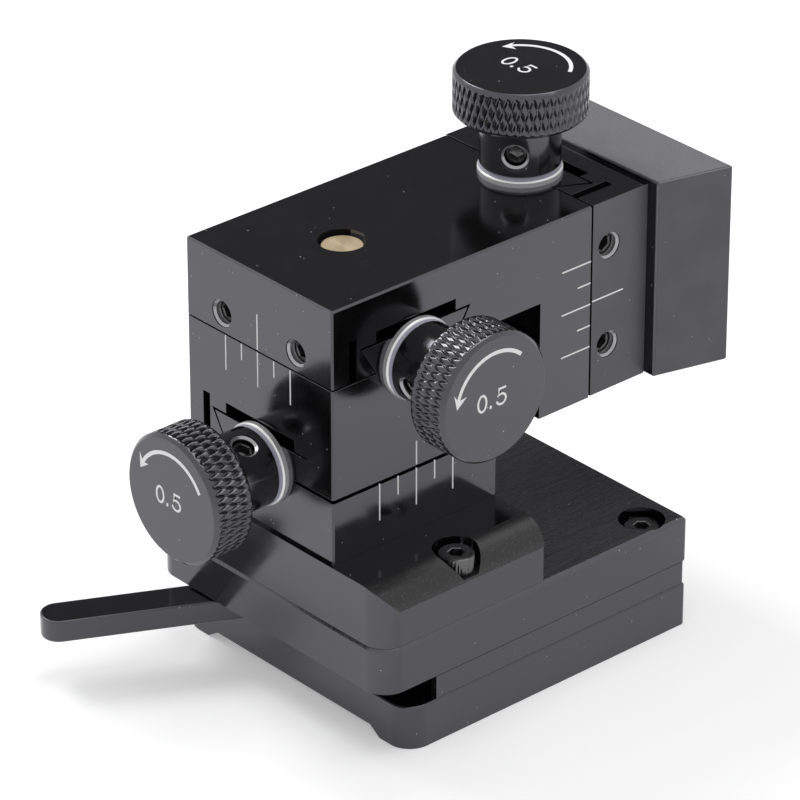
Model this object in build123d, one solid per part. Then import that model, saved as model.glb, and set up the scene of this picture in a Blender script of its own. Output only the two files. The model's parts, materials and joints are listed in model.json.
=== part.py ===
from build123d import *
import math
import os

# Probe positioner: three screw-driven dovetail slides on a base whose magnets a lever turns.
# Millimetres, +Z up, origin on the table at the centre of the base.
# +X points to the arm block and -Y to the knob of the cross slide.
# The tower stands a little off the base's middle line, towards +Y.

# Base plates
base_length = 42.9
base_width = 36.1
base_corner_r = 2.7
end_corner_r = 0.5
bottom_plate_h = 5.0
bottom_setback = 3.3
bottom_edge = 0.2
relief_h = 1.0
relief_half_width = 12.2
relief_flank = 1.5
pad_r = 11.0
spacer_h = 2.85
spacer_inset = 0.2
spacer_edge = 0.25
top_plate_h = 5.25
top_plate_edge = 0.4

# Magnet switch
lever_reach = 41.1
lever_width = 4.1
lever_h = 2.5
lever_tip_r = 1.9
lever_angle = 152.9
lever_swing = 72.0
lever_stop_gap = 0.15
pocket_end = 14.0
rotor_r = 9.2
rotor_gap = 0.3
pivot_r = 2.0
pivot_seat = 2.0
magnet_r = 2.8
magnet_h = 2.3
magnet_circle_r = 5.7
magnet_count = 2

# Foot under the tower
foot_h = 6.8
foot_shoulder_r = 3.1
foot_inset_x = 0.15
foot_inset_y = 0.3
foot_setback = 0.45
foot_end_r = 0.2

# Tower blocks
tower_setback = 0.55
tower_offset = 1.45
tower_length = 22.4
tower_width = 22.6
lower_block_h = 7.3
middle_block_h = 12.75
top_block_h = 8.9
leg_t = 7.45
leg_h = 22.3
leg_clear = 0.9
slide_t = 7.6
slide_rise = 0.1
block_edge = 0.2

# Arm block
arm_block_t = 8.7
arm_block_half_width = 12.75
arm_block_angle = 14.9
arm_block_rise = 0.6
arm_hole_r = 1.25
arm_hole_depth = 6.0
arm_hole_spacing = 12.0

# Slides
travel = 5.0
slide_gap = 0.05
flank_angle = 60.0
mouth_half = 5.35
dovetail_h = 3.5
rail_h = 3.4
flank_gap = 0.05
jaw_gap = 0.2
hub_relief_h = 4.75
groove_w = 6.1
groove_depth = 0.5
slit_w = 1.05
jaw_web = 0.55
slit_h = 4.8
gib_screw_h = 2.15
gib_screw_spacing = 11.5
gib_screw_recess = 0.9

# Drive screws
screw_r = 1.5
running_gap = 0.05
seat_gap = 0.02
tail_seat = 1.8
tail_end_gap = 0.2
nut_r = 2.15
nut_clear = 0.3
nut_below = 2.6
nut_end_gap = 0.4
nut_recess = 0.55
nut_mouth = 0.4
blind_nut_seat = 3.3
bush_r = 2.5
bush_flange_r = 4.5
bush_flange_t = 0.7
bush_end_gap = 0.2
washer_r = 4.35
washer_t = 0.3

# Knobs
hub_r = 4.3
wheel_r = 7.1
wheel_t = 5.1
wheel_edge = 0.4
hub_edge = 0.1
wheel_clear = 1.7
knob_bore_end = 1.8
set_screw_r = 1.45
set_screw_out = 3.4
set_screw_recess = 0.5

# Cap screws
cap_r = 1.0
cap_head_r = 1.9
cap_head_h = 2.0
counterbore_r = 2.5
cap_hole_gap = 0.15
cap_recess = 0.3
base_screw_recess = 0.7
base_screw_end = 4.05
base_screw_y = 15.25
base_screw_tip = 1.5
foot_screw_shift = 0.55
foot_screw_y = 15.4
foot_screw_drop = 2.45
block_screw_y = 7.5
block_screw_bite = 3.5
arm_screw_y = 8.5
arm_screw_spacing = 15.0
arm_screw_bite = 2.4

# Levels up the tower
z_bottom = bottom_plate_h
z_spacer = z_bottom + spacer_h
z_plate = z_spacer + top_plate_h
z_foot = z_plate + foot_h
z_x_split = z_foot + lower_block_h
z_y_split = z_x_split + middle_block_h
z_top = z_y_split + top_block_h

# Stations along the base
base_x = base_length / 2
base_y = base_width / 2
tower_x0 = tower_setback - base_x
tower_x1 = tower_x0 + tower_length
tower_x = (tower_x0 + tower_x1) / 2
tower_half = tower_length / 2
tower_y = tower_width / 2
tower_near = tower_offset - tower_y
tower_far = tower_offset + tower_y
leg_x = tower_x1 + travel + leg_clear
x_split = leg_x + leg_t
slide_x = x_split + slide_t
slide_h = leg_h - slide_rise
slide_z = z_top - slide_h
slide_mid_z = z_top - slide_h / 2

# Sizes that follow from the slides and knobs
flank_run = 1 / math.tan(math.radians(flank_angle))
slit_inner = mouth_half + dovetail_h * flank_run + jaw_web
slit_outer = slit_inner + slit_w
slot_half = nut_r + travel + nut_clear
slot_depth = nut_below + nut_end_gap
washer_end = bush_flange_t + washer_t
hub_start = washer_end + running_gap
hub_end = travel + wheel_clear
knob_face = hub_end + wheel_t
knob_bore_top = knob_face - knob_bore_end
small = 1.0

# Frames at the knob end of each screw: z points out to the knob, y into the sliding block
x_drive = Plane(origin=(tower_x0, tower_offset, z_x_split), x_dir=(0, -1, 0), z_dir=(-1, 0, 0))
y_drive = Plane(origin=(tower_x, tower_near, z_y_split), x_dir=(1, 0, 0), z_dir=(0, -1, 0))
z_drive = Plane(origin=(x_split, tower_offset, z_top), x_dir=(0, -1, 0), z_dir=(0, 0, 1))


def box(x0, x1, y0, y1, z0, z1):
    """A box between two values on each axis."""
    low = (Align.MIN, Align.MIN, Align.MIN)
    return Pos(x0, y0, z0) * Box(x1 - x0, y1 - y0, z1 - z0, align=low)


def rod(radius, z0, z1, x=0.0, y=0.0):
    """An upright cylinder between two heights."""
    base = (Align.CENTER, Align.CENTER, Align.MIN)
    return Pos(x, y, z0) * Cylinder(radius, z1 - z0, align=base)


def rod_x(radius, x0, x1, y, z):
    """A cylinder along X."""
    return Pos(x0, y, z) * Rot(0, 90, 0) * rod(radius, 0, x1 - x0)


def rod_y(radius, y0, y1, x, z):
    """A cylinder along Y."""
    return Pos(x, y0, z) * Rot(-90, 0, 0) * rod(radius, 0, y1 - y0)


def prism(points, z0, z1):
    """A closed outline in XY, raised between two heights."""
    face = make_face(Polyline(*points, close=True))
    return Pos(0, 0, z0) * extrude(face, amount=z1 - z0, dir=(0, 0, 1))


def group(*solids):
    """Like pieces that share one node."""
    return Compound(children=[piece.solid() for piece in solids])


def mirror_y(y, middle=0.0):
    """The two places that a piece takes on either side of a middle line."""
    return (middle - y, middle + y)


def plate(x0, x1, half_width, left_r, right_r, z0, z1):
    """A plate with one corner radius at its -X end and another at its +X end."""
    body = box(x0, x1, -half_width, half_width, z0, z1)
    body = fillet(body.edges().filter_by(Axis.Z).group_by(Axis.X)[0], left_r)
    return fillet(body.edges().filter_by(Axis.Z).group_by(Axis.X)[-1], right_r)


def machined_block(x0, x1, y0, y1, z0, z1):
    """A block with a small chamfer down each corner."""
    body = box(x0, x1, y0, y1, z0, z1)
    return chamfer(body.edges().filter_by(Axis.Z), block_edge)


def screw_slot(frame, length):
    """What a screw and its nut need inside a rail: the nut's slot and the seats at both ends."""
    middle = -length / 2
    slot_w = nut_r + nut_clear
    slot = box(-slot_w, slot_w, -slot_depth, dovetail_h, middle - slot_half, middle + slot_half)
    bush_seat = rod(bush_r + seat_gap, middle + slot_half - small, small)
    tail_bore = rod(screw_r + running_gap, middle - slot_half - tail_seat - tail_end_gap, middle)
    return frame * (slot + bush_seat + tail_bore)


def rail(frame, length):
    """The male dovetail, with a shallow groove along its top."""
    foot = mouth_half - flank_gap
    top = foot + rail_h * flank_run
    outline = [(-foot, -small), (foot, -small), (foot, 0), (top, rail_h), (-top, rail_h), (-foot, 0)]
    body = prism(outline, -length, 0)
    floor = rail_h - groove_depth
    groove = box(-groove_w / 2, groove_w / 2, floor, rail_h + small, -length - small, small)
    return frame * (body - groove)


def dovetail_cut(frame, length, slit_side):
    """The female dovetail, the deeper bay that the hub runs in, and the slit behind the jaw."""
    run = dovetail_h * flank_run
    left, right = mouth_half, mouth_half + jaw_gap
    if slit_side < 0:
        left, right = right, left
    outline = [
        (-left, -small), (right, -small), (right, 0), (right + run, dovetail_h),
        (-left - run, dovetail_h), (-left, 0),
    ]
    cavity = prism(outline, -length - small, small)
    bay = box(-mouth_half, mouth_half, 0, hub_relief_h, -length - small, small)
    slit_from, slit_to = sorted((slit_side * slit_inner, slit_side * slit_outer))
    slit = box(slit_from, slit_to, -small, slit_h, -length - small, small)
    return frame * (cavity + bay + slit)


def gib_rods(frame, length, slit_side, radius, start, end):
    """Two cylinders from one distance off the middle to another, across the slit side."""
    rods = []
    for offset in (-gib_screw_spacing / 2, gib_screw_spacing / 2):
        x0, x1 = sorted((slit_side * start, slit_side * end))
        rods.append(frame * rod_x(radius, x0, x1, gib_screw_h, offset - length / 2))
    return rods


def gib_holes(frame, length, slit_side, half_width):
    """The tapped holes of the screws that press the jaw on the rail."""
    holes = gib_rods(frame, length, slit_side, screw_r + seat_gap, slit_inner + small / 2, half_width + small)
    return holes[0] + holes[1]


def gib_screws(frame, length, slit_side, half_width):
    """The set screws that bear on the jaw."""
    return group(*gib_rods(frame, length, slit_side, screw_r, slit_inner, half_width - gib_screw_recess))


def nut_seat(frame, length, top):
    """The bore that holds a nut in its sliding block."""
    return frame * rod_y(nut_r + seat_gap, 0, top, 0, -length / 2)


def nut(frame, length, top):
    """The brass nut: a cross-drilled barrel that hangs down around the screw."""
    barrel = rod_y(nut_r, -nut_below, top, 0, -length / 2)
    bore = rod(screw_r + running_gap, -length / 2 - nut_r - small, -length / 2 + nut_r + small)
    return frame * (barrel - bore)


def bush(frame, length):
    """The flanged bush that the screw turns in."""
    end_wall = length / 2 - slot_half
    body = rod(bush_r, bush_end_gap - end_wall, small / 2) + rod(bush_flange_r, 0, bush_flange_t)
    return frame * (body - rod(screw_r + running_gap, -length, length))


def washer(frame):
    """The pale washer between bush and hub."""
    return frame * (rod(washer_r, bush_flange_t, washer_end) - rod(screw_r + running_gap, 0, small * 2))


def lead_screw(frame, length):
    """The screw, from inside the knob to its tail seat in the far end of the rail."""
    return frame * rod(screw_r, -length / 2 - slot_half - tail_seat, knob_bore_top)


def radial(radius, start, end, angle):
    """A cylinder that lies across a hub at the height of its set screw."""
    return Rot(0, 0, angle) * rod_x(radius, start, end, 0, set_screw_out)


def knob(frame, angle):
    """A wheel and its hub, turned in one piece."""
    outline = [
        (0, hub_start), (hub_r - hub_edge, hub_start), (hub_r, hub_start + hub_edge), (hub_r, hub_end),
        (wheel_r - wheel_edge, hub_end), (wheel_r, hub_end + wheel_edge),
        (wheel_r, knob_face - wheel_edge), (wheel_r - wheel_edge, knob_face), (0, knob_face),
    ]
    half = Plane.XZ * make_face(Polyline(*outline, close=True))
    body = revolve(half, Axis.Z)
    bore = rod(screw_r + seat_gap, 0, knob_bore_top)
    hole = radial(set_screw_r + seat_gap, screw_r, hub_r + small, angle)
    return frame * (body - bore - hole)


def hub_set_screw(frame, angle):
    """The set screw that locks a knob on its screw."""
    return frame * radial(set_screw_r, screw_r, hub_r - set_screw_recess, angle)


def cap_screw(head_z, tip_z):
    """An upright cap screw on the Z axis, its head resting at one height."""
    return rod(cap_head_r, head_z, head_z + cap_head_h) + rod(cap_r, tip_z, head_z + small)


def cap_hole(head_z, top_z, tip_z):
    """The counterbore and clearance hole of an upright cap screw."""
    return rod(counterbore_r, head_z, top_z) + rod(cap_r + cap_hole_gap, tip_z, head_z + small)


def at(places, solid):
    """One copy of a solid at each place in XY."""
    return [Pos(x, y, 0) * solid for x, y in places]


def cut(body, tools):
    """A body with every tool taken away."""
    for tool in tools:
        body = body - tool
    return body


def heading(angle):
    """A unit direction in XY."""
    turn = math.radians(angle)
    return math.cos(turn), math.sin(turn)


def beside(angle, along, left):
    """A point at a distance along a direction and to the left of it."""
    x, y = heading(angle)
    return x * along - y * left, y * along + x * left


def polar(radius, count, first):
    """Places on a circle round the pivot."""
    places = []
    for number in range(count):
        x, y = heading(first + 360 / count * number)
        places.append((x * radius, y * radius))
    return places


base_places = [(base_x - base_screw_end, y) for y in mirror_y(base_screw_y)]
foot_places = [(tower_x + foot_screw_shift, y) for y in mirror_y(foot_screw_y)]
block_places = [(tower_x, y) for y in mirror_y(block_screw_y, tower_offset)]
magnet_places = polar(magnet_circle_r, magnet_count, lever_angle)
base_head_z = z_plate - base_screw_recess - cap_head_h
foot_head_z = z_foot - foot_screw_drop
block_head_z = z_plate + cap_recess + cap_head_h
pole_h = bottom_plate_h - rotor_gap
lever_z0 = z_bottom + (spacer_h - lever_h) / 2
lever_z1 = lever_z0 + lever_h
pocket_r = rotor_r + rotor_gap


def make_bottom_plate():
    """The plate that stands on the table, relieved between its feet and round a middle pad."""
    body = plate(bottom_setback - base_x, base_x, base_y, base_corner_r, end_corner_r, 0, z_bottom)
    body = chamfer(body.edges().group_by(Axis.Z)[-1], bottom_edge)
    flank = relief_half_width + relief_flank
    outline = [(-flank, 0), (flank, 0), (relief_half_width, relief_h), (-relief_half_width, relief_h)]
    across = Plane(origin=(-base_x, 0, 0), x_dir=(0, 1, 0), z_dir=(1, 0, 0))
    relief = across * prism(outline, 0, base_length)
    body = body - (relief - rod(pad_r, -small, relief_h + small))
    body = cut(body, at(base_places + foot_places, rod(cap_r + seat_gap, base_screw_tip, z_bottom)))
    body = cut(body, at(magnet_places, rod(magnet_r + seat_gap, 0, z_bottom)))
    return body - rod(pivot_r + seat_gap, relief_h + small, z_bottom)


def make_spacer_plate():
    """The plate that leaves room for the lever and stops it at both ends of its swing."""
    left_r, right_r = base_corner_r - spacer_inset, end_corner_r - spacer_inset
    x0, x1 = bottom_setback - base_x + spacer_inset, base_x - spacer_inset
    body = plate(x0, x1, base_y - spacer_inset, left_r, right_r, z_bottom, z_spacer)
    body = chamfer(body.edges().group_by(Axis.Z)[-1], spacer_edge)
    side = lever_width / 2 + lever_stop_gap
    last = lever_angle + lever_swing
    reach = lever_reach * 2
    sweep = [
        beside(lever_angle, 0, -side), beside(lever_angle, reach, -side),
        beside(last, reach, side), beside(last, 0, side),
    ]
    body = body - prism(sweep, z_bottom, z_spacer)
    run, rise = heading(last)
    mouth_y = beside(last, (rise * side - pocket_end) / run, side)[1]
    body = body - box(-base_x, -pocket_end, -base_y, mouth_y, z_bottom, z_spacer)
    body = body - rod(pocket_r, z_bottom, z_spacer)
    return cut(body, at(base_places + foot_places, rod(cap_r + cap_hole_gap, z_bottom, z_spacer)))


def make_top_plate():
    """The plate that the tower's foot stands on."""
    body = plate(-base_x, base_x, base_y, base_corner_r, end_corner_r, z_spacer, z_plate)
    body = chamfer(body.edges().group_by(Axis.Z)[-1], top_plate_edge)
    body = cut(body, at(base_places, cap_hole(base_head_z, z_plate + small, z_spacer)))
    body = cut(body, at(foot_places, rod(cap_r + cap_hole_gap, z_spacer, z_plate)))
    return body - rod(pivot_r + seat_gap, z_spacer, z_spacer + pivot_seat + tail_end_gap)


def make_stage_foot():
    """The foot with its two round shoulders, which overhangs the bottom plate."""
    x0, x1 = foot_inset_x - base_x, tower_x1 - foot_setback
    half_width = base_y - foot_inset_y
    body = box(x0, x1, -half_width, half_width, z_plate, z_foot)
    body = fillet(body.edges().filter_by(Axis.X).group_by(Axis.Z)[-1], foot_shoulder_r)
    body = body & plate(x0, x1, half_width, base_corner_r, foot_end_r, z_plate, z_foot)
    body = cut(body, at(foot_places, cap_hole(foot_head_z, z_foot + small, z_plate)))
    holes = rod(counterbore_r, z_plate, block_head_z) + rod(cap_r + cap_hole_gap, z_plate, z_foot)
    return cut(body, at(block_places, holes))


def make_lower_block():
    """The fixed block, with the rail of the long slide on top."""
    body = machined_block(tower_x0, tower_x1, tower_near, tower_far, z_foot, z_x_split)
    body = body + rail(x_drive, tower_length)
    body = body - screw_slot(x_drive, tower_length)
    return cut(body, at(block_places, rod(cap_r + seat_gap, z_foot, z_foot + block_screw_bite + seat_gap)))


def make_middle_block():
    """The block that rides on the lower one and carries the rail of the cross slide."""
    body = machined_block(tower_x0, tower_x1, tower_near, tower_far, z_x_split + slide_gap, z_y_split)
    body = body + rail(y_drive, tower_width)
    body = body - screw_slot(y_drive, tower_width)
    body = body - dovetail_cut(x_drive, tower_length, -1)
    body = body - gib_holes(x_drive, tower_length, -1, tower_y)
    return body - nut_seat(x_drive, tower_length, hub_relief_h + blind_nut_seat)


def make_top_block():
    """The arm that rides on the middle block, with a leg that carries the rail of the upright slide."""
    arm = box(tower_x0, x_split, tower_near, tower_far, z_y_split + slide_gap, z_top)
    leg = box(leg_x, x_split, tower_near, tower_far, z_top - leg_h, z_top)
    body = arm + leg
    rim = body.edges().group_by(Axis.Z)[-1].sort_by(Axis.X)[:-1]
    corners = body.edges().filter_by(Axis.Z).group_by(Axis.X)[0]
    body = chamfer(rim + corners, block_edge)
    body = body + rail(z_drive, leg_h)
    body = body - screw_slot(z_drive, leg_h)
    body = body - dovetail_cut(y_drive, tower_width, -1)
    body = body - gib_holes(y_drive, tower_width, -1, tower_half)
    body = body - nut_seat(y_drive, tower_width, top_block_h + small)
    return body - rod(nut_r + nut_mouth, z_top - nut_recess, z_top + small, tower_x, tower_offset)


def make_upright_slide():
    """The block that climbs the leg."""
    body = box(x_split + slide_gap, slide_x, tower_near, tower_far, slide_z, z_top)
    body = body - dovetail_cut(z_drive, slide_h, 1)
    body = body - gib_holes(z_drive, slide_h, 1, tower_y)
    body = body - nut_seat(z_drive, slide_h, slide_t + small)
    tip = slide_x - arm_screw_bite - seat_gap
    return cut(body, [rod_x(cap_r + seat_gap, tip, slide_x, y, z) for y, z in arm_places])


def make_arm_block():
    """The wedge-sided block that a probe arm bolts to."""
    wide = arm_block_half_width + arm_block_t * math.tan(math.radians(arm_block_angle))
    outer = slide_x + arm_block_t
    narrow = arm_block_half_width
    outline = [(slide_x, -narrow), (outer, -wide), (outer, wide), (slide_x, narrow)]
    body = Pos(0, tower_offset, 0) * prism(outline, slide_z, z_top + arm_block_rise)
    body = chamfer(body.edges(), block_edge)
    head_x = outer - cap_recess - cap_head_h
    holes = []
    for y, z in arm_places:
        holes.append(rod_x(counterbore_r, head_x, outer + small, y, z))
        holes.append(rod_x(cap_r + cap_hole_gap, slide_x, outer, y, z))
    for z in (slide_mid_z - arm_hole_spacing / 2, slide_mid_z + arm_hole_spacing / 2):
        holes.append(rod_x(arm_hole_r, outer - arm_hole_depth, outer + small, tower_offset, z))
    return cut(body, holes)


def make_arm_screws():
    """The cap screws that hold the arm block on its slide."""
    outer = slide_x + arm_block_t
    head_x = outer - cap_recess - cap_head_h
    screws = []
    for y, z in arm_places:
        head = rod_x(cap_head_r, head_x, head_x + cap_head_h, y, z)
        screws.append(head + rod_x(cap_r, slide_x - arm_screw_bite, head_x + small, y, z))
    return group(*screws)


def make_lever():
    """The switch lever, in one piece with the disc that holds the magnets."""
    half = lever_width / 2
    bar = prism([(0, -half), (lever_reach, -half), (lever_reach, half), (0, half)], lever_z0, lever_z1)
    bar = fillet(bar.edges().filter_by(Axis.Z).group_by(Axis.X)[-1], lever_tip_r)
    body = Rot(0, 0, lever_angle) * bar + rod(rotor_r, lever_z0, lever_z1)
    body = body - rod(pivot_r + running_gap, lever_z0, lever_z1)
    return cut(body, at(magnet_places, rod(magnet_r + seat_gap, lever_z0, lever_z1)))


arm_rows = (slide_mid_z - arm_screw_spacing / 2, slide_mid_z + arm_screw_spacing / 2)
arm_places = [(y, z) for y in mirror_y(arm_screw_y, tower_offset) for z in arm_rows]
magnet_z0 = lever_z0 + (lever_h - magnet_h) / 2

nodes = {
    "bottom_plate": make_bottom_plate(),
    "spacer_plate": make_spacer_plate(),
    "top_plate": make_top_plate(),
    "stage_foot": make_stage_foot(),
    "lower_block": make_lower_block(),
    "middle_block": make_middle_block(),
    "top_block": make_top_block(),
    "upright_slide": make_upright_slide(),
    "arm_block": make_arm_block(),
    "switch_lever": make_lever(),
    "lever_pivot": rod(pivot_r, relief_h + small, z_spacer + pivot_seat),
    "lever_magnets": group(*at(magnet_places, rod(magnet_r, magnet_z0, magnet_z0 + magnet_h))),
    "pole_pins": group(*at(magnet_places, rod(magnet_r, 0, pole_h))),
    "base_screws": group(*at(base_places, cap_screw(base_head_z, base_screw_tip))),
    "foot_screws": group(*at(foot_places, cap_screw(foot_head_z, base_screw_tip))),
    "arm_screws": make_arm_screws(),
}

block_screw = rod(cap_head_r, z_plate + cap_recess, block_head_z) + rod(
    cap_r, block_head_z - small, z_foot + block_screw_bite
)
nodes["lower_block_screws"] = group(*at(block_places, block_screw))

# What each drive has: name, frame, rail length, slider length, slit side, half width, nut height, screw angle
drives = [
    ("x", x_drive, tower_length, tower_length, -1, tower_y, hub_relief_h + blind_nut_seat, 68.0),
    ("y", y_drive, tower_width, tower_width, -1, tower_half, top_block_h - nut_recess, 194.0),
    ("z", z_drive, leg_h, slide_h, 1, tower_y, slide_t - nut_recess, -50.0),
]
for name, frame, length, slider_length, slit_side, half_width, nut_top, angle in drives:
    nodes[name + "_gib_screws"] = gib_screws(frame, slider_length, slit_side, half_width)
    nodes[name + "_nut"] = nut(frame, slider_length, nut_top)
    nodes[name + "_bush"] = bush(frame, length)
    nodes[name + "_washer"] = washer(frame)
    nodes[name + "_lead_screw"] = lead_screw(frame, length)
    nodes[name + "_knob"] = knob(frame, angle)
    nodes[name + "_knob_set_screw"] = hub_set_screw(frame, angle)

os.makedirs("parts", exist_ok=True)
for name, shape in nodes.items():
    export_step(shape, "parts/" + name + ".step")
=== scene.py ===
import json
import math

import bmesh
import bpy
from mathutils import Matrix, Vector


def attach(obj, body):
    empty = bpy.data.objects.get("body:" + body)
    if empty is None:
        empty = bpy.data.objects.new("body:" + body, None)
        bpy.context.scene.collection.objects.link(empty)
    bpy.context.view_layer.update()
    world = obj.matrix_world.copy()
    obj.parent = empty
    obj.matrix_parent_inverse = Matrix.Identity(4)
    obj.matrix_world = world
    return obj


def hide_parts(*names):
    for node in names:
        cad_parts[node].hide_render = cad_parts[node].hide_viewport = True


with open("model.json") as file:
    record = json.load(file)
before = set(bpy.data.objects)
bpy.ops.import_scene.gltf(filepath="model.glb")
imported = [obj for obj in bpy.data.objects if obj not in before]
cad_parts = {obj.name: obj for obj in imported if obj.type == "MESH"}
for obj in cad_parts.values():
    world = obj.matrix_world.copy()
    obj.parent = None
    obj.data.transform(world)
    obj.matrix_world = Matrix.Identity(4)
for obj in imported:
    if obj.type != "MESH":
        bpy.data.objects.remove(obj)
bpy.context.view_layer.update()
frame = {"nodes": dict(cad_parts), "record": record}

# Lengths are written in millimetres, as in the CAD, and turned into metres where meshes are made.
MM = 0.001

# Stations of the CAD model
Z_X_SPLIT = 27.2
Z_Y_SPLIT = 39.95
Z_TOP = 48.85
TOWER_X0 = -20.9
TOWER_X = -9.7
TOWER_Y = 11.3
TOWER_OFFSET = 1.45
TOWER_NEAR = TOWER_OFFSET - TOWER_Y
TOP_HALF_WIDTH = 11.2
X_SPLIT = 14.85
SLIDE_MID_Z = 37.75
ARM_FACE_X = 31.15
SHOULDER_Y = 14.4

# Drives: radii, and distances from the block's face outwards
BORE_R = 1.55
SEAT_R = 2.5
FLANGE_R = 4.5
FLANGE_END = 0.7
WASHER_R = 4.35
WASHER_END = 1.0
HUB_R = 4.3
HUB_END = 6.7
KNOB_FACE = 11.8
WHEEL_R = 7.1
WHEEL_EDGE = 0.42
BAND_START = HUB_END + WHEEL_EDGE
BAND_END = KNOB_FACE - WHEEL_EDGE
SET_SCREW_OUT = 3.4
SET_SCREW_ANGLES = {"x": 68.0, "y": 194.0, "z": -50.0}

# Brass nuts: the height of their turned end above the drive's axis, and their place along it
NUTS = {"x": (8.05, -11.2), "y": (8.35, -11.3), "z": (7.05, -11.1)}

# Threads: pitch, where a crest lies in its pitch, and how far a root stays inside its hole
THREAD_PITCH = 0.5
THREAD_CREST = (0.4, 0.6)
ROOT_PLAY = 0.02

# Gib screws: height over the split, spacing, depth below the mouth, and how much further threads show
GIB_SCREW_H = 2.15
GIB_SPACING = 11.5
GIB_RECESS = 0.9
GIB_THREAD_IN = 0.6

# Knurl: grooves round the wheel, points to a groove, levels along it, and the grooves' depth and width
KNURL_COUNT = 50
KNURL_STEPS = 12
KNURL_LEVELS = 19
KNURL_ROWS = KNURL_LEVELS / KNURL_STEPS
KNURL_DEPTH = 0.22
KNURL_GROOVE = 0.4
KNURL_FADE = 0.3

# The dovetail rails in a drive's frame: the split, the rail's top, its reach and the edge of its foot
ALL = (-99, 99)
SPLIT = (-0.01, 0.01)
SLIDER_FACE = (0.04, 0.06)
RAIL_TOP = (3.35, 3.45)
RAIL_REACH = 7.6
RAIL_FLANK = 5.2
RAIL_FOOT = 5.4
RAIL_DROP = 0.15

# Meshing: angles in degrees, and lengths in millimetres
SHARP_ANGLE = 32
FLAT_ANGLE = 0.6
BREAK_ANGLE = 28
MERGE = 0.0005
SAME_SIZE = 1e-6
TINY = 1e-9
CAVITY_DEPTH = 0.25
MITRE_LIMIT = 0.5

# Sides of the round forms, and points of an arc and of a stroke's end
HEAD_STEPS = 48
DRIVE_STEPS = 72
LINING_STEPS = 40
SHANK_STEPS = 24
LEAD_SCREW_STEPS = 36
ARC_STEPS = 24
CAP_STEPS = 5

# How much of a face's normal lies along an axis, where it faces that axis or slants from it
FACING = 0.9
SLANTED = 0.5
SHOULDER_RISE = 0.12

# A Mix node keeps its two colours and its coloured result at these places
MIX_A = 6
MIX_B = 7
MIX_RESULT = 2

# The finishes of the tower's blocks, one of them the painted shade of their cavities, and the place of the
# threads' one in the list
BLOCK = ["gloss_anodised", "cavity", "bare_thread", "edge_anodised", "satin_anodised"]
THREAD = BLOCK.index("bare_thread")

nodes = frame["nodes"]
body_of = {}
for body_name, members in frame["record"]["behaviour"]["bodies"].items():
    for member in members:
        body_of[member] = body_name
slot_of = {part["node"]: part["material_slot"] for part in frame["record"]["subparts"]}


# Placement
def axes(origin, x_dir, z_dir):
    """The matrix of a local frame whose lengths are in metres, with its origin in millimetres."""
    z = Vector(z_dir)
    x = Vector(x_dir)
    matrix = Matrix((x, z.cross(x), z)).transposed().to_4x4()
    matrix.translation = Vector(origin) * MM
    return matrix


def in_mm(matrix):
    """The same placement for a mesh in millimetres."""
    placed = matrix.copy()
    placed.translation = matrix.translation / MM
    return placed


def aimed(place, target):
    """The placement of a camera or lamp that looks at a target, in metres."""
    place = Vector(place)
    turn = (Vector(target) - place).to_track_quat("-Z", "Y")
    return Matrix.Translation(place) @ turn.to_matrix().to_4x4()


def about(axis, degrees):
    return Matrix.Rotation(math.radians(degrees), 4, axis)


def reach_along(node, drive):
    """Where a CAD node starts and ends along a drive, in millimetres."""
    back = drive.inverted()
    heights = [(back @ v.co).z for v in nodes[node].data.vertices]
    return min(heights) / MM, max(heights) / MM


WORLD = Matrix.Identity(4)
DRIVES = {
    "x": axes((TOWER_X0, TOWER_OFFSET, Z_X_SPLIT), (0, -1, 0), (-1, 0, 0)),
    "y": axes((TOWER_X, TOWER_NEAR, Z_Y_SPLIT), (1, 0, 0), (0, -1, 0)),
    "z": axes((X_SPLIT, TOWER_OFFSET, Z_TOP), (0, -1, 0), (0, 0, 1)),
}


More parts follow.
